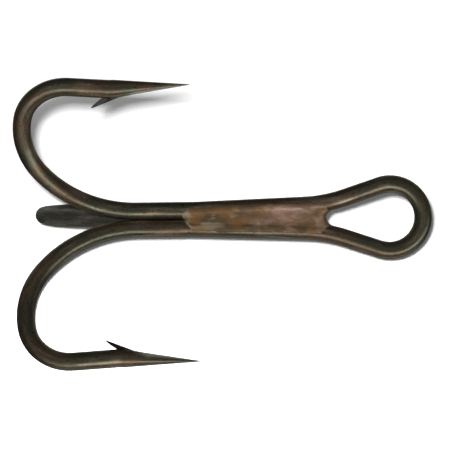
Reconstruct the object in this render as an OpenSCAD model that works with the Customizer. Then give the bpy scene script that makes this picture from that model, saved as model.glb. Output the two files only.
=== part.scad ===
// Treble hook: three barbed hooks round one shank, brazed together, with a looped eye.
// Two of the hooks and the eye are one length of wire, folded at the eye. The third hook is a
// second length, nested in the groove between the first one's two legs. Brazing filler fills the
// grooves between the three shanks.
// The hook lies on two of its three bends. +X runs along the shank towards the eye, and the origin
// is the centre of the eye's round end. Units are millimetres.

/* [Wire] */
// Diameter of the hook wire
wire_d = 2.4; // [2.2:0.05:2.5]

/* [Bend] */
// Distance from the eye's centre to the start of the bends
bend_start = 34.6; // [33:0.1:37]
// Radius of the bend's first and widest stretch
bend_r1 = 15.6; // [14:0.1:17]
// Turn of that stretch, in degrees
bend_turn1 = 53; // [48:1:58]
// Radius of the second stretch
bend_r2 = 10; // [9:0.1:11]
// Turn of the second stretch, in degrees
bend_turn2 = 50; // [45:1:55]
// Radius of the last and tightest stretch
bend_r3 = 6.1; // [5.5:0.1:7]
// Turn of the whole bend, a little past a half turn, in degrees
bend_turn = 184; // [182:0.5:186]

/* [Spear and point] */
// Straight run of the longest hook's spear, from its bend to its point
spear_len = 5.7; // [4.5:0.1:7]
// How much shorter the other double hook's spear is
short_spear = 0.9; // [0:0.1:1.5]
// How much shorter the single hook's spear is
single_short = 0.4; // [0:0.1:1.5]
// Radius of the slight kick outwards before the point
kick_r = 8; // [6:0.5:12]
// Turn of that kick, in degrees
kick_turn = 7; // [5:0.5:10]
// Length of the ground point
point_len = 9.8; // [8:0.1:11]
// Diameter left at the very tip
tip_d = 0.16; // [0.1:0.02:0.3]

/* [Barb] */
// Distance from the barb's tip to the hook's tip, along the hook
barb_back = 12.4; // [12:0.1:13]
// How far the barb's tip stands above the wire
barb_rise = 1.95; // [1.6:0.05:2.1]
// How much farther back the upper hook's barb is cut
upper_back = 0.4; // [0:0.1:0.6]
// How much higher the upper hook's barb stands
upper_rise = 0.2; // [0:0.05:0.3]
// Length of the sliver that is cut and lifted
barb_len = 6; // [5.5:0.1:6.5]
// How far the open throat reaches in under the barb's tip
barb_throat = 3; // [2.7:0.1:3.2]

/* [Eye] */
// Width inside the eye
eye_w = 6.7; // [6.4:0.1:7.2]
// Slope of the eye's straight flanks to the shank, in degrees
eye_slope = 18.5; // [17:0.5:20]
// Radius of the outward bend between the shank and the eye
neck_r = 20; // [18:0.5:22]

/* [Shank] */
// Length over which the two legs slowly part before the eye
part_len = 14.4; // [14:0.1:15]
// Slope of each leg over that length, in degrees
part_slope = 2.1; // [1.8:0.1:2.4]
// Radius of the gentle bend where the legs begin to part
part_r = 40; // [30:5:50]
// Distance from the eye's centre to the end of the single hook's shank
single_end = 9.8; // [9:0.1:11]
// Chamfer on the single hook's cut end
end_chamfer = 0.3; // [0.1:0.05:0.5]

/* [Braze] */
// Distance from the eye's centre to the filler's end at the eye
braze_near = 8.7; // [8.5:0.1:9.5]
// Distance from the eye's centre to the filler's end at the bends
braze_far = 28.4; // [27:0.1:29.5]
// Width of the filler over the front groove
braze_w = 3.5; // [3.2:0.1:3.8]
// Height of the front filler's crown above the wires
braze_crown = 0.12; // [0.08:0.01:0.2]

/* [Hidden] */
$fn = 64;

wire_r = wire_d / 2;
relief = 0.004;                       // a straight run is this much thinner than the bends beside it,
lap = 0.05;                           // and laps this far into them
thin_r = wire_r - relief;
lie_angle = 60;                       // turns the eye's plane so that the hook lies on two bends
hub_r = wire_d / sqrt(3);             // from the shank's axis to each of the three nested wires
eye_lift = hub_r / 2;                 // from the shank's axis to the plane of the eye
upper_dir = 30;                       // the three hooks' directions round the shank's axis
lower_dir = 150;
single_dir = 270;

bend_turn3 = bend_turn - bend_turn1 - bend_turn2;
a1 = 270 - bend_turn1;                // where each stretch of the bend ends, seen from its centre
a2 = a1 - bend_turn2;
a3 = a2 - bend_turn3;
c1 = [-bend_start, hub_r + bend_r1];
c2 = c1 + (bend_r1 - bend_r2) * [cos(a1), sin(a1)];
c3 = c2 + (bend_r2 - bend_r3) * [cos(a2), sin(a2)];
bend_end = c3 + bend_r3 * [cos(a3), sin(a3)];

barb_sink = 0.6;                      // where the sliver leaves the point, as a part of the wire's radius
barb_narrow = 0.8;                    // and its width there, as a part of the point's
barb_blunt = 0.35;                    // the sliver's very tip is cut off square by this much
barb_clear = 0.5;                     // the shapes that cut it out stand this far clear of its tip

eye_r = (eye_w + wire_d) / 2;
flank_len = (eye_r * cos(eye_slope) + neck_r * (cos(eye_slope) - cos(part_slope)) - wire_r
    - part_r * (1 - cos(part_slope)) - part_len * sin(part_slope)) / sin(eye_slope);
flank_end = eye_r * [-sin(eye_slope), cos(eye_slope)];
neck_end = flank_end - flank_len * [cos(eye_slope), sin(eye_slope)];
neck_c = neck_end + neck_r * [-sin(eye_slope), cos(eye_slope)];
neck_start = neck_c + neck_r * [sin(part_slope), -cos(part_slope)];
part_end = neck_start - part_len * [cos(part_slope), sin(part_slope)];
part_start = part_end[0] - part_r * sin(part_slope);

single_z = -eye_lift - hub_r;         // the single hook's shank, below the plane of the eye

crown_r = (pow(braze_w / 2, 2) + pow(braze_crown, 2)) / (2 * braze_crown);
crown_edge = wire_r - 0.02;           // height of the front filler's long edges
crown_facets = 360;
crown_past = 1;                       // the crown's cylinder runs past the filler at each end
pool_floor = 0.3 * wire_r;            // the underside of the front filler, where the legs touch
core_wait = 2;                        // the legs part this far before filler fits between them
core_far = -part_start - core_wait;
core_w = 1.3;                         // filler between the legs, down to the single hook's shank
core_floor = -1.15;
core_top = wire_r - 0.2;
rear_tilt = 60;                       // slope of the rear grooves, across the shank
rear_in = 0.35;                       // the rear fillers' depth, from the line between two wires
rear_out = 0.95;
rear_w = 1.8;
rear_inset = 0.6;                     // the rear fillers are this much shorter at each end

bronzed = "#4a4030";
copper = "#9a6a44";

// A thin run of wire from p along the heading, in the plane of the bend. It laps into the wire at
// both ends, and tapers to end_r over its last stretch.
module wire_run(p, heading, len, taper = 0, end_r = 0) {
    translate([p[0], p[1], 0]) rotate([0, 0, heading]) rotate([0, 90, 0])
        rotate_extrude() polygon(taper > 0
            ? [[0, -lap], [thin_r, -lap], [thin_r, len - taper], [end_r, len], [0, len]]
            : [[0, -lap], [thin_r, -lap], [thin_r, len + lap], [0, len + lap]]);
}

// A bend of wire round c, from one angle through a turn
module wire_bend(c, r, from, turn, rod = wire_r) {
    translate([c[0], c[1], 0]) rotate([0, 0, from])
        rotate_extrude(angle = turn) translate([r, 0]) circle(r = rod);
}

// A thin bend, which laps into the wire at both ends
module thin_bend(c, r, from, turn) {
    past = lap / r * 180 / PI;
    wire_bend(c, r, from - past, turn + 2 * past, thin_r);
}

// The sliver that is cut from the inside of the wire and lifted. It is drawn with the hook's tip
// at x = 0 and the wire running back along -x, and it rises towards -y. Its back is the wire's own
// surface, which narrows to the ground point at the hinge.
module barb(back, rise) {
    tip = [-back, -wire_r - rise];
    hinge = [-back + barb_len, -wire_r * barb_sink];
    throat = [barb_throat, rise];
    foot = tip + (1 + wire_r / 2 / rise) * throat;      // inside the wire
    blunt = tip + barb_blunt * throat / norm(throat);
    behind = blunt - [0, barb_clear];                   // these two stand clear of the sliver
    ahead = hinge - [0, barb_clear];
    hinge_r = barb_narrow * wire_r * (back - barb_len) / point_len;
    run = norm(hinge - tip);
    narrow = atan((wire_r - hinge_r) / run);
    past = run + wire_r;
    intersection() {
        translate([0, 0, -wire_d]) linear_extrude(2 * wire_d)
            polygon([behind, ahead, hinge + [0, hinge_r / 2], foot, blunt]);
        translate(tip) rotate([0, 0, atan2(hinge[1] - tip[1], hinge[0] - tip[0]) - narrow])
            translate([-barb_clear, wire_r, 0]) rotate([0, 90, 0])
                cylinder(h = barb_clear + past, r1 = wire_r + barb_clear * tan(narrow),
                    r2 = wire_r - past * tan(narrow));
    }
}

// One hook beyond the shank: its bend, spear, barb and point
module hook(spear, back, rise) {
    spear_end = bend_end + spear * [sin(a3), -cos(a3)];
    kick_c = spear_end + kick_r * [cos(a3), sin(a3)];
    kick_end = kick_c - kick_r * [cos(a3 + kick_turn), sin(a3 + kick_turn)];
    point_heading = a3 - 90 + kick_turn;
    tip = kick_end + point_len * [cos(point_heading), sin(point_heading)];
    wire_bend(c1, bend_r1, a1, bend_turn1);
    thin_bend(c2, bend_r2, a2, bend_turn2);
    wire_bend(c3, bend_r3, a3, bend_turn3);
    wire_run(bend_end, a3 - 90, spear);
    wire_bend(kick_c, kick_r, a3 + 180, kick_turn);
    wire_run(kick_end, point_heading, point_len, point_len, tip_d / 2);
    translate(tip) rotate([0, 0, a3 - 90 + kick_turn / 2]) barb(back, rise);
}

// Turns a hook's plane to its direction round the shank's axis
module round_shank(dir) {
    translate([0, 0, -eye_lift]) rotate([dir, 0, 0]) children();
}

// One leg of the double hook, from the bend to the eye, in the plane of the eye
module leg() {
    wire_run([-bend_start, wire_r], 0, part_start + bend_start);
    wire_bend([part_start, wire_r + part_r], part_r, 270, part_slope);
    wire_run(part_end, part_slope, part_len);
    wire_bend(neck_c, neck_r, 270 + part_slope, eye_slope - part_slope);
    wire_run(neck_end, eye_slope, flank_len);
}

module double_hook_wire() {
    leg();
    mirror([0, 1, 0]) leg();
    wire_bend([0, 0], eye_r, -90 - eye_slope, 180 + 2 * eye_slope);
    round_shank(upper_dir)
        hook(spear_len - short_spear, barb_back + upper_back, barb_rise + upper_rise);
    round_shank(lower_dir) hook(spear_len, barb_back, barb_rise);
}

module single_shank() {
    translate([0, 0, single_z])
        wire_run([-bend_start, 0], 0, bend_start - single_end, end_chamfer, thin_r - end_chamfer);
}

module single_hook_wire() {
    single_shank();
    round_shank(single_dir) hook(spear_len - single_short, barb_back, barb_rise);
}

module double_hook() {
    color(bronzed) rotate([lie_angle, 0, 0]) double_hook_wire();
}

module single_hook() {
    color(bronzed) rotate([lie_angle, 0, 0]) single_hook_wire();
}

// The space that the three wires fill, along the brazed stretch
module brazed_wires() {
    leg();
    mirror([0, 1, 0]) leg();
    single_shank();
}

// Filler in the front groove, crowned over the two legs, and between the legs where they part
module front_filler() {
    len = braze_far - braze_near;
    difference() {
        union() {
            intersection() {
                translate([-braze_far, -braze_w / 2, pool_floor])
                    cube([len, braze_w, wire_r]);
                translate([-braze_far - crown_past, 0, crown_edge + braze_crown - crown_r])
                    rotate([0, 90, 0])
                        cylinder(h = len + 2 * crown_past, r = crown_r, $fn = crown_facets);
            }
            translate([-core_far, -core_w / 2, core_floor])
                cube([core_far - braze_near - end_chamfer, core_w, core_top - core_floor]);
        }
        brazed_wires();
    }
}

// Filler in the rear groove between the single hook's shank and one leg
module rear_filler() {
    difference() {
        translate([-braze_far + rear_inset, wire_r / 2, single_z / 2]) rotate([rear_tilt, 0, 0])
            translate([0, -rear_w / 2, -rear_out])
                cube([braze_far - single_end - 2 * rear_inset, rear_w, rear_out - rear_in]);
        brazed_wires();
    }
}

module braze_front() {
    color(copper) rotate([lie_angle, 0, 0]) front_filler();
}

module braze_rear_upper() {
    color(copper) rotate([lie_angle, 0, 0]) rear_filler();
}

module braze_rear_lower() {
    color(copper) rotate([lie_angle, 0, 0]) mirror([0, 1, 0]) rear_filler();
}

double_hook();
single_hook();
braze_front();
braze_rear_upper();
braze_rear_lower();
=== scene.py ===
"""A bronzed treble hook, built in detail round its CAD frame.

The wires are swept along the same routes as in the CAD model, with cut barbs and ground points,
and the brazing filler is a ragged bead that runs out over them. All lengths here are in
millimetres, and MM turns them into Blender's metres.
"""

import math

import bmesh
import bpy
from mathutils import Matrix, Vector, noise
from mathutils.kdtree import KDTree

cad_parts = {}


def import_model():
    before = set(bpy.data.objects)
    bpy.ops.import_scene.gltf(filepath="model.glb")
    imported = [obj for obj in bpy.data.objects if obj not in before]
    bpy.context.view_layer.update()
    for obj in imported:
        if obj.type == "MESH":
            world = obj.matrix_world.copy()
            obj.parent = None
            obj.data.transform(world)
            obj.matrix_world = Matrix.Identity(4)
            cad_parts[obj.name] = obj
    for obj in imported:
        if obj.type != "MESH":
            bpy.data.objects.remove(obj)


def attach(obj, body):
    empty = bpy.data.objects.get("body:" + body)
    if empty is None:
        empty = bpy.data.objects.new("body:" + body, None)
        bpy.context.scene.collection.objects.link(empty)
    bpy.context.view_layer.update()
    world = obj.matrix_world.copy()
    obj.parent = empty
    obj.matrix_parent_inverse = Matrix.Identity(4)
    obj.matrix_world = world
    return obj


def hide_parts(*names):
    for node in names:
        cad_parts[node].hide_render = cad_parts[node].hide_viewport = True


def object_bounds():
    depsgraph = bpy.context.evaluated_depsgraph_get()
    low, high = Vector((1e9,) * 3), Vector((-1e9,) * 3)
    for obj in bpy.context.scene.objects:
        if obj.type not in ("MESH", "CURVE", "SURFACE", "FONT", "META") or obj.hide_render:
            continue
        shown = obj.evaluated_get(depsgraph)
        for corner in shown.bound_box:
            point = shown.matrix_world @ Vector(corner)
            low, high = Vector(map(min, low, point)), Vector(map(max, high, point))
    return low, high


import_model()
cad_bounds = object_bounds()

MM = 0.001

# The wire and its bends
WIRE_R = 1.2
SKIN_R = 1.193
BEND_START = 34.6
BEND = ((15.6, 53), (10.0, 50), (6.1, 81))
KICK_R, KICK_TURN = 8.0, 7.0
SPEAR = {"upper": 4.8, "lower": 5.7, "single": 5.3}
POINT_LEN = 9.8
TIP_R = 0.05
FAR_AWAY = 1000.0

# The barbs: how far back their tips lie, and how high they stand above the wire
BARB = {"upper": (12.8, 2.15), "lower": (12.4, 1.95), "single": (12.4, 1.95)}
BARB_LEN = 6.0
BARB_SINK = 0.6
BARB_NARROW = 0.8
BARB_THROAT = 3.0
BARB_BLUNT = 0.02
BARB_HOLLOW = 0.06

# How deep a barb's cut goes: a share of the wire's width at most, and less towards its hinge
CUT_SHARE = 0.95
HINGE_DEPTH, HINGE_SLOPE = 0.3, 0.35

# The eye and the shank
EYE_R = 4.55
EYE_SLOPE = 18.5
NECK_R = 20.0
PART_LEN, PART_SLOPE, PART_R = 14.4, 2.1, 40.0
SINGLE_END = 9.8
END_CHAMFER = 0.3

# The brazing filler: where it ends, and half the width over which each bead is drawn
BRAZE_FAR, BRAZE_NEAR = 28.4, 8.65
FRONT_HALF_W, REAR_HALF_W = 2.0, 1.15
REAR_INSET_FAR, REAR_INSET_NEAR = 0.6, 0.1

# Its height in the grooves, above the line between the wires' centres
FRONT_FILL, REAR_FILL = 0.86 * WIRE_R, 0.74 * WIRE_R

# The film of it that runs over the wires: its outline's distance from a wire's crest, how thick it
# is, how far it sinks into the wire outside its outline, and from where to where it does so
OVER_UPPER_LEG, OVER_LOWER_LEG, REAR_REACH = 0.45, 0.32, 0.85
FILM_THICK, FILM_SUNK, FILM_EDGE = 0.06, 0.05, (-0.2, 0.45)

# The front filler's end by the eye: hollowed between the legs, and rounded down
END_HOLLOW = 0.7
NOSE_LEN, NOSE_DROP = 1.3, 1.6

# How far the filler in the grooves drops at the front bead's far end, and at the rear beads' ends
FAR_DROP, REAR_DROP = 1.3, 0.7

# The beads' undersides: in front a keel between the legs and a skirt over them, and behind a flat
# one. LEAST_THICK is how thin a bead gets.
KEEL_HALF_W, KEEL_DEPTH, SKIRT_DEPTH = 0.45, 0.85, 0.3
REAR_UNDER = 0.3
LEAST_THICK = 0.05

# How the parts stand round the shank
LIE = math.radians(60)
HUB_R = 2 * WIRE_R / math.sqrt(3)
EYE_LIFT = HUB_R / 2
HOOK_DIR = {"upper": 30, "lower": 150, "single": 270}

# The meshes: a wire's sides and the step between its rings, a barb's sections, which crowd towards
# its tip, and the parts of their arc, and a bead's steps along and across
SIDES, STEP = 40, 0.25
BARB_SECTIONS, BARB_CROWDING, BARB_ARC = 60, 1.3, 18
FRONT_MESH, REAR_MESH = (300, 90), (240, 52)

# Edges that turn by more degrees than this are shaded sharp: on a wire, on a barb and on a bead
WIRE_SHARP, BARB_SHARP, BEAD_SHARP = 40, 32, 60

# How uneven a wire's surface is, and how flatly its point is ground
LONG_WEAR, SHORT_WEAR = 0.004, 0.003
GROUND_LEN, GROUND_DEPTH, GROUND_SHARE = 2.5, 0.22, 0.85

# Where the look of ground metal fades, by the distance from the tip and by the share of the radius
# (LEAST_R at least) towards the inner side, and where that of cut metal starts beyond the wire
BARE_ALONG = (POINT_LEN - 3.5, POINT_LEN - 0.5)
BARE_INWARD, LEAST_R = (-0.2, 0.5), 0.3
CUT_BEYOND = (1.03, 1.12)


def lie(p):
    """A point from the eye's plane, x along the shank and z square to the eye, to the row frame."""
    c, s = math.cos(LIE), math.sin(LIE)
    return Vector((p[0], p[1] * c - p[2] * s, p[1] * s + p[2] * c))


def smooth(lo, hi, x):
    """0 up to lo, 1 from hi on, and a smooth step between them."""
    t = min(1.0, max(0.0, (x - lo) / (hi - lo)))
    return t * t * (3 - 2 * t)


def rough(x, y, z, scale, octaves=3):
    """Noise about zero, with features about scale across. On the beads z only picks a slice of it,
    so that no two uses are alike."""
    p, total, size = Vector((x, y, z)) / scale, 0.0, 1.0
    for _ in range(octaves):
        total += noise.noise(p) * size
        p, size = p * 2.1, size / 2
    return total


# ---- routes: plane curves of straights and arcs -------------------------------------------------


class Pen:
    """Draws straights and arcs in a plane, and keeps a point every STEP."""

    def __init__(self, x, y, heading):
        self.p, self.h = Vector((x, y)), math.radians(heading)
        self.points = [(self.p.copy(), self.h)]

    def line(self, length):
        n = max(1, round(length / STEP))
        start, way = self.p.copy(), Vector((math.cos(self.h), math.sin(self.h)))
        for i in range(1, n + 1):
            self.p = start + way * (length * i / n)
            self.points.append((self.p.copy(), self.h))

    def arc(self, radius, turn):
        """Turns left through a positive angle and right through a negative one."""
        turn = math.radians(turn)
        side = math.copysign(1, turn)
        centre = self.p + side * radius * Vector((-math.sin(self.h), math.cos(self.h)))
        n = max(1, round(radius * abs(turn) / STEP))
        start = self.h
        for i in range(1, n + 1):
            self.h = start + turn * i / n
            self.p = centre + side * radius * Vector((math.sin(self.h), -math.cos(self.h)))
            self.points.append((self.p.copy(), self.h))


class Plane:
    """A plane of the hook: x along the shank and y across it, at an angle round an axis."""

    def __init__(self, direction, lift):
        a = math.radians(direction)
        self.origin = Vector((0, 0, lift))
        self.y = Vector((0, math.cos(a), math.sin(a)))

    def point(self, p):
        return lie(self.origin + Vector((p[0], 0, 0)) + self.y * p[1])

    def way(self, heading):
        return lie(Vector((math.cos(heading), 0, 0)) + self.y * math.sin(heading))


EYE_PLANE = Plane(0, 0)


def hook_plane(name):
    return Plane(HOOK_DIR[name], -EYE_LIFT)


def station(plane, p, heading, inner, radius, from_tip=FAR_AWAY):
    return {
        "pos": plane.point(p),
        "way": plane.way(heading),
        "inner": inner,
        "radius": radius,
        "from_tip": from_tip,
    }


def hook_route(name):
    """From the start of the bend to the tip of one hook."""
    pen = Pen(-BEND_START, HUB_R, 180)
    for radius, turn in BEND:
        pen.arc(radius, -turn)
    pen.line(SPEAR[name])
    pen.arc(KICK_R, KICK_TURN)
    full = len(pen.points)
    pen.line(POINT_LEN)
    plane = hook_plane(name)
    route, tip = [], pen.points[-1][0]
    for i, (p, h) in enumerate(pen.points):
        from_tip = (tip - p).length if h < math.radians(90) else FAR_AWAY
        radius = WIRE_R
        if i >= full:
            radius = TIP_R + (WIRE_R - TIP_R) * from_tip / POINT_LEN
        inner = plane.way(h - math.pi / 2)
        route.append(station(plane, p, h, inner, radius, from_tip))
    return route, (plane, tip, pen.h)


def leg_lengths():
    """Length of an eye's flank, and where its neck and the parting legs start."""
    sn, cs = math.sin(math.radians(EYE_SLOPE)), math.cos(math.radians(EYE_SLOPE))
    sp, cp = math.sin(math.radians(PART_SLOPE)), math.cos(math.radians(PART_SLOPE))
    flank = (EYE_R * cs + NECK_R * (cs - cp) - WIRE_R - PART_R * (1 - cp) - PART_LEN * sp) / sn
    neck_start = -EYE_R * sn - flank * cs + NECK_R * (sp - sn)
    return flank, neck_start, neck_start - PART_LEN * cp - PART_R * sp


FLANK, NECK_START, PART_START = leg_lengths()


def eye_route():
    """From the start of one leg, round the eye, to the start of the other."""
    pen = Pen(-BEND_START, -WIRE_R, 0)
    pen.line(PART_START + BEND_START)
    pen.arc(PART_R, -PART_SLOPE)
    pen.line(PART_LEN)
    pen.arc(NECK_R, -(EYE_SLOPE - PART_SLOPE))
    pen.line(FLANK)
    pen.arc(EYE_R, 180 + 2 * EYE_SLOPE)
    pen.line(FLANK)
    pen.arc(NECK_R, -(EYE_SLOPE - PART_SLOPE))
    pen.line(PART_LEN)
    pen.arc(PART_R, -PART_SLOPE)
    pen.line(PART_START + BEND_START)
    side = EYE_PLANE.way(math.pi / 2)
    return [station(EYE_PLANE, p, h, side, WIRE_R) for p, h in pen.points]


def reversed_route(route):
    return [{**s, "way": -s["way"]} for s in reversed(route)]


def framed(route):
    """Adds arc length and a frame that doesn't twist to each station."""
    side = route[0]["inner"].cross(route[0]["way"]).normalized()
    length = 0.0
    for i, s in enumerate(route):
        if i:
            length += (s["pos"] - route[i - 1]["pos"]).length
        side = (side - s["way"] * side.dot(s["way"])).normalized()
        s["s"], s["u"], s["v"] = length, side.copy(), s["way"].cross(side)
    return route


# ---- meshes ------------------------------------------------------------------------------------


def new_object(name, bm, sharp_angle=WIRE_SHARP):
    bmesh.ops.recalc_face_normals(bm, faces=bm.faces)
    mesh = bpy.data.meshes.new(name)
    bm.to_mesh(mesh)
    bm.free()
    obj = bpy.data.objects.new(name, mesh)
    bpy.context.scene.collection.objects.link(obj)
    soften(mesh, sharp_angle)
    return obj


def soften(mesh, angle):
    """Shades a mesh smooth, but for the edges that turn by more than an angle."""
    for polygon in mesh.polygons:
        polygon.use_smooth = True
    mesh.set_sharp_from_angle(angle=math.radians(angle))


def ring_offset(s, a):
    """Where a ring's point lies from the centre, with the inner side of a point ground flatter."""
    off = (s["u"] * math.cos(a) + s["v"] * math.sin(a)) * s["radius"]
    p = s["pos"] + off
    worn = LONG_WEAR * (rough(*p, 3.0) - 1) + SHORT_WEAR * rough(*p, 0.7)
    off *= (SKIN_R + worn) / WIRE_R
    ground = 1 - smooth(POINT_LEN - GROUND_LEN, POINT_LEN, s["from_tip"])
    if ground:
        inward = off.dot(s["inner"])
        flat = s["radius"] * (1 - GROUND_DEPTH * ground)
        if inward > flat:
            off -= s["inner"] * (inward - flat) * GROUND_SHARE
    return off


def tube(name, route):
    """A closed wire swept along a route."""
    bm = bmesh.new()
    rings = []
    for s in route:
        ring = []
        for k in range(SIDES):
            off = ring_offset(s, 2 * math.pi * k / SIDES)
            ring.append(bm.verts.new((s["pos"] + off) * MM))
        rings.append(ring)
    for a, b in zip(rings, rings[1:]):
        for k in range(SIDES):
            j = (k + 1) % SIDES
            bm.faces.new((a[k], a[j], b[j], b[k]))
    bm.faces.new(rings[0])
    bm.faces.new(tuple(reversed(rings[-1])))
    return new_object(name, bm)


def barb(name, where):
    """The sliver cut from the wire and lifted, as sections of a circle from its tip to its hinge."""
    plane, tip2, heading = where
    back, rise = BARB[name]
    lean = heading - math.radians(KICK_TURN / 2)
    ahead = Vector((math.cos(lean), math.sin(lean)))
    out = Vector((-ahead.y, ahead.x))
    tip = Vector((-back, -WIRE_R - rise))
    hinge = Vector((-back + BARB_LEN, -WIRE_R * BARB_SINK))
    top = (hinge - tip).normalized()
    into = Vector((-top.y, top.x))
    open_angle = math.atan2(rise, BARB_THROAT) - math.atan2(top.y, top.x)
    side = plane.way(math.pi / 2).cross(plane.way(0)).normalized()
    length = (hinge - tip).length
    hinge_r = BARB_NARROW * WIRE_R * (back - BARB_LEN) / POINT_LEN
    bm = bmesh.new()
    rings = []
    for i in range(BARB_SECTIONS + 1):
        a = BARB_BLUNT + (length - BARB_BLUNT) * (i / BARB_SECTIONS) ** BARB_CROWDING
        width = WIRE_R + (hinge_r - WIRE_R) * a / length
        by_hinge = HINGE_DEPTH + (length - a) * HINGE_SLOPE
        depth = min(a * math.tan(open_angle), CUT_SHARE * width, by_hinge)
        half = math.acos(1 - depth / width)
        ring = []
        for k in range(BARB_ARC + 1):
            phi = half * (2 * k / BARB_ARC - 1)
            p = tip + top * a + into * width * (1 - math.cos(phi))
            ring.append((p, width * math.sin(phi)))
        for k in range(1, BARB_ARC):
            t = 1 - 2 * k / BARB_ARC
            hollow = BARB_HOLLOW * (1 - t * t) * min(1, depth)
            p = tip + top * a + into * (depth - hollow)
            ring.append((p, width * math.sin(half) * t))
        rings.append([
            bm.verts.new((plane.point(tip2 + ahead * p.x + out * p.y) + side * z) * MM)
            for p, z in ring
        ])
    n = len(rings[0])
    for a, b in zip(rings, rings[1:]):
        for k in range(n):
            j = (k + 1) % n
            bm.faces.new((a[k], a[j], b[j], b[k]))
    bm.faces.new(rings[0])
    bm.faces.new(tuple(reversed(rings[-1])))
    return new_object(name, bm)


def weld(base, others):
    """Unites the other solids with base, and removes them."""
    for other in others:
        union = base.modifiers.new("union", "BOOLEAN")
        union.operation, union.solver, union.object = "UNION", "EXACT", other
        bpy.context.view_layer.update()
        deps = bpy.context.evaluated_depsgraph_get()
        mesh = bpy.data.meshes.new_from_object(base.evaluated_get(deps))
        base.modifiers.clear()
        old, base.data = base.data, mesh
        bpy.data.meshes.remove(old)
        bpy.data.objects.remove(other)
    soften(base.data, BARB_SHARP)
    return base


def straighten(obj, route):
    """Gives each vertex its place in the wire as if the wire were straight, and how near it is to
    a ground or a cut surface."""
    tree = KDTree(len(route))
    for i, s in enumerate(route):
        tree.insert(s["pos"] * MM, i)
    tree.balance()
    mesh = obj.data
    for name, kind in (("straight", "FLOAT_VECTOR"), ("ground", "FLOAT"), ("cut", "FLOAT")):
        mesh.attributes.new(name, kind, "POINT")
    straight, ground, cut = (mesh.attributes[n] for n in ("straight", "ground", "cut"))
    for v in mesh.vertices:
        s = route[tree.find(v.co)[1]]
        off = v.co / MM - s["pos"]
        along = s["s"] + off.dot(s["way"])
        straight.data[v.index].vector = (along, off.dot(s["u"]), off.dot(s["v"]))
        # A point is ground on its inner side, and what stands out past the wire is the barb
        inner = off.dot(s["inner"]) / max(s["radius"], LEAST_R)
        on_point = 1 - smooth(*BARE_ALONG, s["from_tip"])
        ground.data[v.index].value = on_point * smooth(*BARE_INWARD, inner)
        past_wire = smooth(*CUT_BEYOND, off.length / WIRE_R)
        cut.data[v.index].value = past_wire * (s["from_tip"] < 2 * POINT_LEN)


def double_hook_wire(material):
    upper, upper_at = hook_route("upper")
    lower, lower_at = hook_route("lower")
    route = framed(reversed_route(lower)[:-1] + eye_route()[:-1] + upper)
    obj = tube("double_hook_wire", route)
    weld(obj, [barb("upper", upper_at), barb("lower", lower_at)])
    straighten(obj, route)
    obj.data.materials.append(material)
    return obj


def single_hook_wire(material):
    hook, hook_at = hook_route("single")
    plane = hook_plane("single")
    pen = Pen(-SINGLE_END, HUB_R, 180)
    pen.line(BEND_START - SINGLE_END)
    shank = []
    for p, h in pen.points:
        from_end = -SINGLE_END - p.x
        radius = WIRE_R - max(0.0, END_CHAMFER - from_end)
        shank.append(station(plane, p, h, plane.way(h - math.pi / 2), radius))
    route = framed(shank[:-1] + hook)
    obj = tube("single_hook_wire", route)
    weld(obj, [barb("single", hook_at)])
    straighten(obj, route)
    obj.data.materials.append(material)
    return obj


# ---- brazing filler ----------------------------------------------------------------------------


def leg_offset(x):
    """How far a leg's centre is from the eye's mid-line, from the touching shank to the neck."""
    parting = math.tan(math.radians(PART_SLOPE)) * max(0.0, x - PART_START)
    return WIRE_R + parting + max(0.0, x - NECK_START) ** 2 / (2 * NECK_R)


def slab(name, nx, nv, surface, material):
    """A closed sheet of filler: surface(i, k) gives its upper and lower point and its rim."""
    bm = bmesh.new()
    rim = bm.verts.layers.float.new("rim")
    top, bottom = [], []
    for i in range(nx + 1):
        row, low = [], []
        for k in range(nv + 1):
            upper, lower, edge = surface(i / nx, 2 * k / nv - 1)
            for store, point in ((row, upper), (low, lower)):
                vert = bm.verts.new(lie(point) * MM)
                vert[rim] = edge
                store.append(vert)
        top.append(row)
        bottom.append(low)
    for a, b, c, d in zip(top, top[1:], bottom, bottom[1:]):
        for k in range(nv):
            bm.faces.new((a[k], a[k + 1], b[k + 1], b[k]))
            bm.faces.new((c[k], d[k], d[k + 1], c[k + 1]))
        bm.faces.new((a[0], b[0], d[0], c[0]))
        bm.faces.new((a[nv], c[nv], d[nv], b[nv]))
    for a, c in ((top[0], bottom[0]), (top[-1], bottom[-1])):
        for k in range(nv):
            bm.faces.new((a[k], a[k + 1], c[k + 1], c[k]))
    obj = new_object(name, bm, BEAD_SHARP)
    obj.data.materials.append(material)
    return obj


def film(reach):
    """Height of the filler over a wire, from how far inside its outline the place is."""
    return (FILM_THICK + FILM_SUNK) * smooth(*FILM_EDGE, reach) - FILM_SUNK


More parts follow.
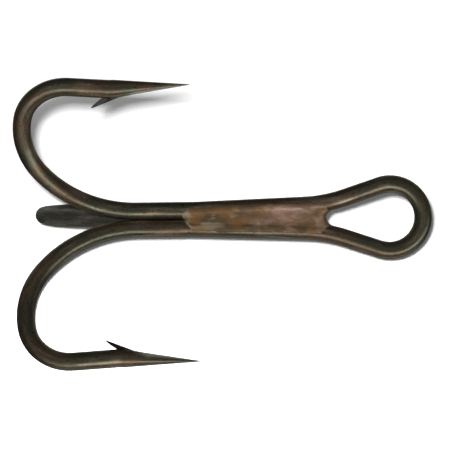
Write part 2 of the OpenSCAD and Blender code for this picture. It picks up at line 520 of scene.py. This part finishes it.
def front_bead(material):
    """The bead in the front groove: it fills the groove, and a ragged film of it runs up over the
    crests of both legs."""

    def surface(t, side):
        v = FRONT_HALF_W * side
        near = BRAZE_NEAR - END_HOLLOW * min(1.0, v * v)
        x = -BRAZE_FAR + (BRAZE_FAR - near) * t
        leg = leg_offset(x)
        from_far, from_near = x + BRAZE_FAR, -near - x

        # How far inside the film's ragged outline this is: from its sides, and from its two ends
        ragged = 0.26 * rough(x, v, 1, 2.4) + 0.14 * rough(x, v, 5, 0.7)
        over_leg = OVER_UPPER_LEG if v > 0 else OVER_LOWER_LEG
        tongue = 0.15 + 0.5 * (v - 0.25) ** 2 + 0.45 * rough(x, v, 2, 1.1)
        fray = 0.1 + 0.5 * rough(x, v, 4, 1.3) + 1.1 * max(0.0, abs(v) - 0.8)
        reach = min(leg + over_leg + ragged - abs(v), from_far - tongue, from_near - fray)

        # The film over a wire, and the filler in the groove, which drops away at both ends
        wire = math.sqrt(max(0.0, WIRE_R**2 - (abs(v) - leg) ** 2))
        over = wire + film(reach) + 0.014 * rough(x, v, 3, 0.4)
        fill = FRONT_FILL + 0.06 * rough(x, v, 7, 1.8) + 0.025 * rough(x, v, 9, 0.5)
        fill -= FAR_DROP * (1 - smooth(-0.3, 1.0, from_far - tongue))
        nose = min(1.0, from_near / NOSE_LEN)
        fill -= NOSE_DROP * (1 - math.sqrt(max(0.0, 1 - (1 - nose) ** 2)))
        height = max(over, fill) if abs(v) < leg else over

        # Its underside, which reaches down between the legs
        deep = -KEEL_DEPTH if abs(v) < KEEL_HALF_W else -SKIRT_DEPTH
        deep = min(deep, height - LEAST_THICK)
        rim = 1 - smooth(0.05, 0.6, reach)
        return Vector((x, v, height)), Vector((x, v, deep)), rim

    return slab("braze_front_bead", *FRONT_MESH, surface, material)


def rear_bead(name, side, material):
    """The bead in a rear groove, between the single hook's shank and one leg."""
    single = Vector((0, -EYE_LIFT - HUB_R))
    start, end = -BRAZE_FAR + REAR_INSET_FAR, -SINGLE_END - REAR_INSET_NEAR

    def surface(t, across):
        x, v = start + (end - start) * t, REAR_HALF_W * across
        leg = Vector((leg_offset(x), 0))
        middle, along = (single + leg) / 2, (leg - single).normalized()
        out = Vector((along.y, -along.x))
        gap = (leg - single).length / 2
        wire = math.sqrt(max(0.0, WIRE_R**2 - (abs(v) - gap) ** 2))
        from_end = min(x - start, end - x)
        reach = REAR_REACH + 0.22 * rough(x, v, 11 + side, 1.5) - abs(v)
        reach = min(reach, from_end - 0.25 + 0.35 * rough(x, v, 12, 0.8))
        fill = REAR_FILL + 0.07 * rough(x, v, 13 + side, 1.3)
        fill -= REAR_DROP * (1 - smooth(0.0, 1.2, from_end))
        over = wire + film(reach) + 0.012 * rough(x, v, 15, 0.4)
        height = max(over, fill) if abs(v) < gap else over
        ends = []
        for h in (height, min(REAR_UNDER, height - LEAST_THICK)):
            p = middle + along * v + out * h
            ends.append(Vector((x, side * p.x, p.y)))
        return ends[0], ends[1], 1 - smooth(0.05, 0.5, reach)

    return slab(name, *REAR_MESH, surface, material)


# ---- materials ---------------------------------------------------------------------------------


class Nodes:
    """A short way to build a node tree."""

    def __init__(self, tree):
        self.tree = tree

    def add(self, kind, inputs=(), **settings):
        node = self.tree.nodes.new(kind)
        for key, value in settings.items():
            setattr(node, key, value)
        for key, value in dict(inputs).items():
            self.put(node.inputs[key], value)
        return node

    def put(self, socket, value):
        if isinstance(value, bpy.types.NodeSocket):
            self.tree.links.new(value, socket)
        else:
            socket.default_value = value

    def noise(self, vector, scale, detail=3, roughness=0.5):
        inputs = {"Vector": vector, "Scale": scale, "Detail": detail, "Roughness": roughness}
        return self.add("ShaderNodeTexNoise", inputs).outputs["Fac"]

    def stretch(self, vector, factors):
        inputs = {0: vector, 1: factors}
        return self.add("ShaderNodeVectorMath", inputs, operation="MULTIPLY").outputs[0]

    def band(self, value, lo, hi, to_lo=0.0, to_hi=1.0):
        inputs = {"Value": value, "From Min": lo, "From Max": hi, "To Min": to_lo, "To Max": to_hi}
        node = self.add("ShaderNodeMapRange", inputs, interpolation_type="SMOOTHSTEP")
        return node.outputs["Result"]

    def math(self, operation, a, b=0.5):
        return self.add("ShaderNodeMath", {0: a, 1: b}, operation=operation).outputs[0]

    def mix(self, factor, a, b):
        node = self.add("ShaderNodeMix", {0: factor, 6: a, 7: b}, data_type="RGBA")
        return node.outputs[2]

    def bump(self, height, distance, strength=1.0, normal=None):
        inputs = {"Height": height, "Distance": distance, "Strength": strength}
        if normal is not None:
            inputs["Normal"] = normal
        return self.add("ShaderNodeBump", inputs).outputs["Normal"]

    def attribute(self, name, output="Fac"):
        return self.add("ShaderNodeAttribute", attribute_name=name).outputs[output]


def new_material(name):
    material = bpy.data.materials.new(name)
    material.use_nodes = True
    return material, Nodes(material.node_tree), material.node_tree.nodes["Principled BSDF"]


def set_sockets(nodes, shader, **sockets):
    for name, value in sockets.items():
        nodes.put(shader.inputs[name.replace("_", " ")], value)


def bronzed_wire_material(name, tint, metal, dull):
    """Bronze lacquer on drawn steel wire: olive to red-brown, streaked along the wire, duller where
    it is blotched, and ground to bare grey at the points. tint scales every colour; a darker,
    cooler tint paints shade."""

    def shade(r, g, b):
        return (r * tint[0], g * tint[1], b * tint[2], 1)

    material, m, shader = new_material(name)
    place = m.attribute("straight", "Vector")
    blotch = m.noise(m.stretch(place, (0.16, 0.4, 0.4)), 1.0, 4, 0.55)
    patch = m.noise(m.stretch(place, (0.10, 0.5, 0.5)), 1.7, 3)
    streak = m.noise(m.stretch(place, (0.35, 5.0, 5.0)), 1.0, 4, 0.6)
    speck = m.noise(m.stretch(place, (0.5, 1, 1)), 5.0, 3)
    ground = m.attribute("ground")

    olive = shade(0.150, 0.147, 0.102)
    brown = shade(0.205, 0.150, 0.098)
    tan = shade(0.50, 0.40, 0.29)
    dark = shade(0.04, 0.036, 0.028)
    bare = shade(0.27, 0.27, 0.24)
    colour = m.mix(m.band(blotch, 0.42, 0.58), olive, brown)
    colour = m.mix(m.band(patch, 0.5, 0.7, 0, 0.6), colour, tan)
    colour = m.mix(m.band(speck, 0.54, 0.72, 0, 0.7), colour, dark)
    colour = m.mix(m.band(streak, 0.52, 0.75, 0, 0.6), colour, dark)
    colour = m.mix(m.math("MULTIPLY", ground, 0.8), colour, bare)
    colour = m.mix(m.math("MULTIPLY", m.attribute("cut"), 0.8), colour, dark)

    gloss = m.band(streak, 0.3, 0.7, 0.30 + dull, 0.42 + dull)
    gloss = m.math("ADD", gloss, m.band(blotch, 0.4, 0.7, -0.03, 0.06))
    bump = m.bump(streak, 0.004 * MM, 0.5)
    bump = m.bump(speck, 0.006 * MM, 0.4, bump)
    bared = m.band(ground, 0.0, 1.0, metal, 0.82)
    set_sockets(m, shader, Base_Color=colour, Metallic=bared, Roughness=gloss, Normal=bump,
                Coat_Weight=0.10, Coat_Roughness=0.25)
    return material


def braze_material():
    """Copper-brown brazing filler, mottled, with dark oxide, pale flux and pink bare metal, and a
    painted pink highlight.
    """
    material, m, shader = new_material("braze_filler")
    place = m.add("ShaderNodeTexCoord").outputs["Object"]
    place = m.stretch(place, (1000.0, 1000.0, 1000.0))
    along = m.add("ShaderNodeSeparateXYZ", {0: place}).outputs[0]
    mottle = m.noise(m.stretch(place, (0.6, 1, 1)), 0.55, 4, 0.55)
    fine = m.noise(place, 2.2, 4, 0.6)
    grit = m.noise(place, 9.0, 3, 0.6)
    drift = m.noise(m.stretch(place, (0.4, 1, 1)), 1.3, 3, 0.45)
    scale = m.noise(m.stretch(place, (0.6, 1.3, 1.3)), 0.8, 3)
    rim = m.attribute("rim")

    def spot(centre, size, strength):
        """A soft-edged stain or painted highlight, longer along the shank than across it."""
        around = m.add("ShaderNodeVectorMath", {0: place, 1: centre}, operation="SUBTRACT").outputs[0]
        inputs = {0: m.stretch(around, (0.45, 1, 1))}
        far = m.add("ShaderNodeVectorMath", inputs, operation="LENGTH").outputs["Value"]
        ragged = m.math("ADD", far, m.band(drift, 0.3, 0.7, -0.4 * size, 0.4 * size))
        return m.band(ragged, 0.1 * size, size, strength, 0.0)

    copper = (0.128, 0.070, 0.030, 1)
    oxide = (0.070, 0.050, 0.028, 1)
    pink = (0.260, 0.165, 0.130, 1)
    flux = (0.230, 0.185, 0.125, 1)
    thin = (0.060, 0.048, 0.032, 1)
    colour = m.mix(m.band(mottle, 0.34, 0.62), oxide, copper)
    colour = m.mix(m.band(fine, 0.5, 0.8, 0, 0.4), colour, oxide)
    # Pink bare metal towards the eye, glossier too; the spot at x -14.2 paints a highlight there in
    # brighter pink
    pink_and_highlight = m.math("MULTIPLY", m.band(along, -22, -16, 0.0, 0.5), m.band(drift, 0.40, 0.66))
    pink_and_highlight = m.math("MAXIMUM", pink_and_highlight, spot((-14.2, -0.6, 1.2), 1.7, 0.8))
    colour = m.mix(pink_and_highlight, colour, pink)
    colour = m.mix(m.band(scale, 0.58, 0.74, 0, 0.6), colour, flux)
    colour = m.mix(spot((-24.7, -1.6, -0.4), 1.0, 0.75), colour, flux)
    ragged = m.math("ADD", along, m.band(drift, 0.3, 0.7, -0.5, 0.5))
    far_end = m.band(ragged, -27.6, -26.7, 0.8, 0.0)
    ends = m.math("ADD", far_end, m.band(ragged, -10.6, -9.2, 0.0, 0.15))
    edge = m.math("MULTIPLY", rim, m.band(along, -27.2, -24.5, 0.0, 0.6))
    colour = m.mix(edge, colour, thin)
    colour = m.mix(ends, colour, flux)

    gloss = m.math("ADD", m.band(fine, 0.3, 0.7, 0.40, 0.60), m.math("MULTIPLY", pink_and_highlight, -0.18))
    bump = m.bump(fine, 0.05 * MM, 0.5)
    bump = m.bump(grit, 0.015 * MM, 0.5, bump)
    set_sockets(m, shader, Base_Color=colour, Metallic=0.8, Roughness=gloss, Normal=bump)
    return material


# ---- stage -------------------------------------------------------------------------------------

# The light that the metal mirrors from all round, and soft windows of more. Each window lies some
# degrees down and aside from the camera. Its half-width and half-height are given twice: where it
# starts to fade, and where it is gone. Its strength is last.
AMBIENT = 0.03
WINDOWS = (
    (46, 15, (0.40, 1.00), (0.00, 0.27), 2.7),
    (20, -15, (0.10, 0.80), (0.00, 0.45), 0.22),
    (-25, 0, (0.20, 1.00), (0.00, 0.60), 0.15),
    (118, 15, (0.20, 0.80), (0.10, 0.50), 0.5),
    (-150, 0, (0.40, 1.00), (0.10, 0.60), 0.35),
)

# The key light, a little above and to the left of the camera, and the fill above the hook
KEY_UP, KEY_LEFT = 5.8, 4.3
KEY_SIZE, KEY_POWER = 0.006, 1.15
FILL_HEIGHT, FILL_SIZE, FILL_POWER = 0.8, 1.0, 0.8

# The floor, and its glow: between which distances it rises, and from what strength to what
FLOOR_HALF, FLOOR_GAP = 4.0, 0.01
FLOOR_GLOW = ((0.03, 0.14, 0.0, 0.7), (0.12, 0.4, 0.0, 0.35))


def floor(centre):
    """A pale floor, which glows a little far from the hook so that it is evenly pale."""
    bm = bmesh.new()
    bmesh.ops.create_grid(bm, x_segments=1, y_segments=1, size=FLOOR_HALF)
    obj = new_object("floor", bm)
    obj.location = centre
    material, m, shader = new_material("pale_floor")
    place = m.add("ShaderNodeTexCoord").outputs["Object"]
    away = m.add("ShaderNodeVectorMath", {0: place}, operation="LENGTH").outputs["Value"]
    glow = m.math("ADD", *(m.band(away, *rise) for rise in FLOOR_GLOW))
    set_sockets(m, shader, Base_Color=(0.9, 0.9, 0.9, 1), Roughness=1.0, Specular_IOR_Level=0.0,
                Emission_Color=(1, 1, 1, 1), Emission_Strength=glow)
    obj.data.materials.append(material)
    obj.visible_glossy = False
    obj.visible_shadow = False


def soft_light(name, place, target, size, power):
    """A square of light that shows in no reflection."""
    light = bpy.data.lights.new(name, "AREA")
    light.size, light.energy = size, power
    obj = bpy.data.objects.new(name, light)
    bpy.context.scene.collection.objects.link(obj)
    obj.location = place
    obj.rotation_euler = (target - place).to_track_quat("-Z", "Y").to_euler()
    obj.visible_glossy = obj.visible_camera = False


def window(m, way, centre, wide, width, height, strength):
    """A soft-edged window of light in the direction centre, for the metal to mirror."""
    tall = centre.cross(wide)
    value = m.math("MULTIPLY", ahead(m, way, centre), strength)
    for axis, (full, gone) in ((wide, width), (tall, height)):
        dot = m.add("ShaderNodeVectorMath", {0: way, 1: axis}, operation="DOT_PRODUCT")
        off = m.math("ABSOLUTE", dot.outputs["Value"])
        value = m.math("MULTIPLY", value, m.band(off, full, gone, 1.0, 0.0))
    return value


def ahead(m, way, centre):
    """1 on the side of a direction, and 0 on the far side from it."""
    dot = m.add("ShaderNodeVectorMath", {0: way, 1: centre}, operation="DOT_PRODUCT")
    return m.band(dot.outputs["Value"], 0.0, 0.15)


def world(view, up):
    """White behind the floor, and dim with a few soft windows of light for the metal to mirror."""
    w = bpy.data.worlds.new("studio")
    bpy.context.scene.world = w
    w.use_nodes = True
    m = Nodes(w.node_tree)
    way = m.add("ShaderNodeTexCoord").outputs["Generated"]
    right = Vector((1, 0, 0))

    def from_view(down, aside):
        a, b = math.radians(down), math.radians(aside)
        return (view * math.cos(a) - up * math.sin(a)) * math.cos(b) + right * math.sin(b)

    level = AMBIENT
    for down, aside, width, height, strength in WINDOWS:
        centre = from_view(down, aside)
        wide = (right - centre * right.dot(centre)).normalized()
        level = m.math("ADD", level, window(m, way, centre, wide, width, height, strength))
    seen = m.add("ShaderNodeLightPath").outputs["Is Camera Ray"]
    metal = m.add("ShaderNodeBackground", {"Color": (1.0, 0.985, 0.96, 1), "Strength": level})
    plain = m.add("ShaderNodeBackground", {"Color": (1, 1, 1, 1), "Strength": 1.0})
    both = m.add("ShaderNodeMixShader", {0: seen, 1: metal.outputs[0], 2: plain.outputs[0]})
    m.put(w.node_tree.nodes["World Output"].inputs["Surface"], both.outputs[0])


# ---- camera ------------------------------------------------------------------------------------

VIEW_DOWN = math.radians(33.9)
VIEW_ROLL = math.radians(0.62)
VIEW_DISTANCE = 185.1
VIEW_LENS, SENSOR_WIDTH = 108, 36
VIEW_TARGET = Vector((-22.51, 0.11, -1.08))


def camera():
    data = bpy.data.cameras.new("camera")
    data.lens, data.sensor_width = VIEW_LENS, SENSOR_WIDTH
    data.clip_start, data.clip_end = 0.005, 20
    obj = bpy.data.objects.new("camera", data)
    bpy.context.scene.collection.objects.link(obj)
    view = Vector((0, -math.cos(VIEW_DOWN), math.sin(VIEW_DOWN)))
    up = Vector((0, math.sin(VIEW_DOWN), math.cos(VIEW_DOWN)))
    place = (VIEW_TARGET + view * VIEW_DISTANCE) * MM
    turn = view.to_track_quat("Z", "Y").to_matrix() @ Matrix.Rotation(-VIEW_ROLL, 3, "Z")
    obj.matrix_world = Matrix.Translation(place) @ turn.to_4x4()
    bpy.context.scene.camera = obj
    return place, view, up


place, view, up = camera()
wire_material = bronzed_wire_material("bronzed_wire", (1, 1, 1), 0.98, 0.0)
# The single hook's finish is a darker, cooler copy of the wire's: painted shade on the hook that
# points away
single_shaded_material = bronzed_wire_material("bronzed_wire_single_shaded", (0.62, 0.78, 0.92), 0.93, 0.13)
filler_material = braze_material()

pieces = {
    "double_hook": double_hook_wire(wire_material),
    "single_hook": single_hook_wire(single_shaded_material),
    "braze_front": front_bead(filler_material),
    "braze_rear_upper": rear_bead("braze_rear_upper_bead", 1, filler_material),
    "braze_rear_lower": rear_bead("braze_rear_lower_bead", -1, filler_material),
}
for node, piece in pieces.items():
    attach(piece, "root")
    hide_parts(node)

floor(Vector((VIEW_TARGET.x * MM, 0, cad_bounds[0][2] - FLOOR_GAP * MM)))
world(view, up)
target = VIEW_TARGET * MM
key_place = place + (up * KEY_UP - Vector((1, 0, 0)) * KEY_LEFT) * MM
soft_light("key", key_place, target, KEY_SIZE, KEY_POWER)
soft_light("fill", target + Vector((0, 0, FILL_HEIGHT)), target, FILL_SIZE, FILL_POWER)

bpy.context.scene.view_settings.view_transform = "Standard"
